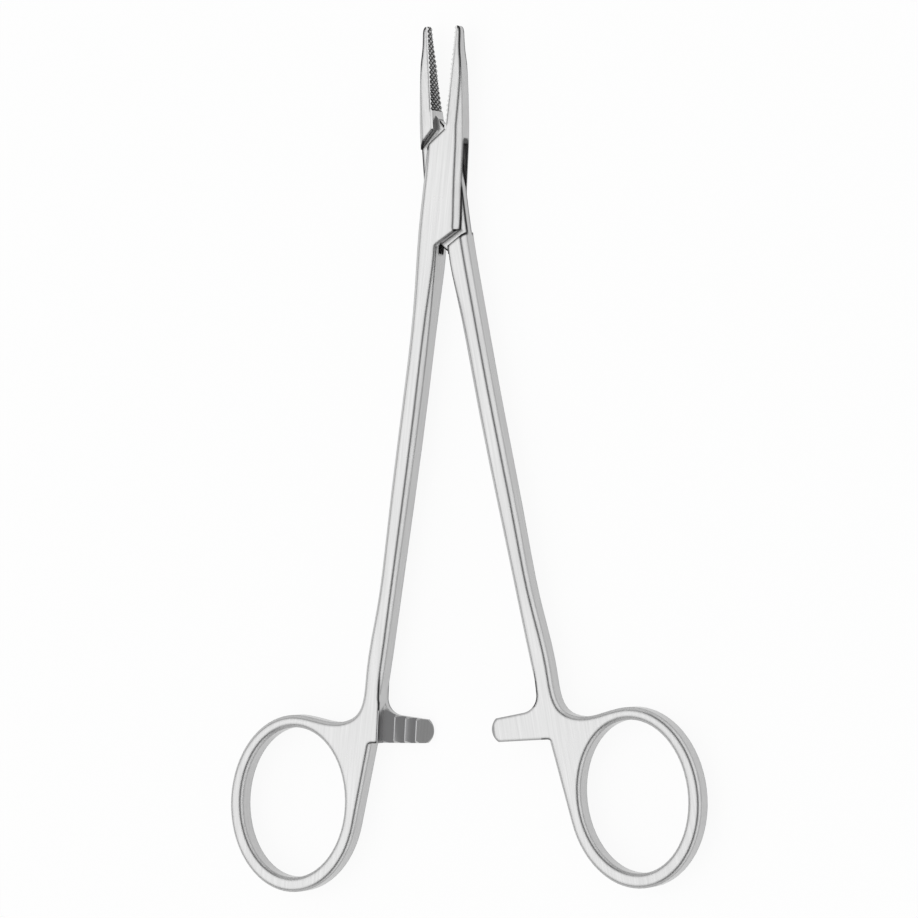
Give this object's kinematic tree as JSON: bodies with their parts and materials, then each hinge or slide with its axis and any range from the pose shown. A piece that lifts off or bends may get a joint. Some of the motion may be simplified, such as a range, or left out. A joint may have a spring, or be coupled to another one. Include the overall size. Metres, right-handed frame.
{
  "type": "needle holder",
  "caption": "Box-lock surgical needle holder with tapered serrated jaws, bevelled shanks, toothed ratchet arms and oval finger rings, shown slightly open.",
  "frame": {"origin": "where the pivot axis meets the back face of the box, on which the instrument lies", "axes": "+Y from the pivot to the jaws, midway between the finger rings; +Z along the pivot, out of the front face; +X towards the ring of the tongue half"},
  "size_m": [0.0892, 0.1502, 0.005],
  "materials": {
    "box_half_steel": "satin brushed stainless steel, bevels brighter",
    "tongue_half_steel": "satin brushed stainless steel, bevels brighter",
    "rivet_steel": "satin stainless steel, ground flush with the box"
  },
  "bodies": {
    "box_body": {"box_half": "box_half_steel", "pivot_rivet": "rivet_steel"},
    "tongue_body": {"tongue_half": "tongue_half_steel"}
  },
  "joints": [
    {"name": "box_lock_hinge", "type": "hinge", "parent": "box_body", "child": "tongue_body", "pos_m": [0, 0, 0.0025], "axis": [0, 0, 1], "range_deg": [-10, 50]}
  ]
}
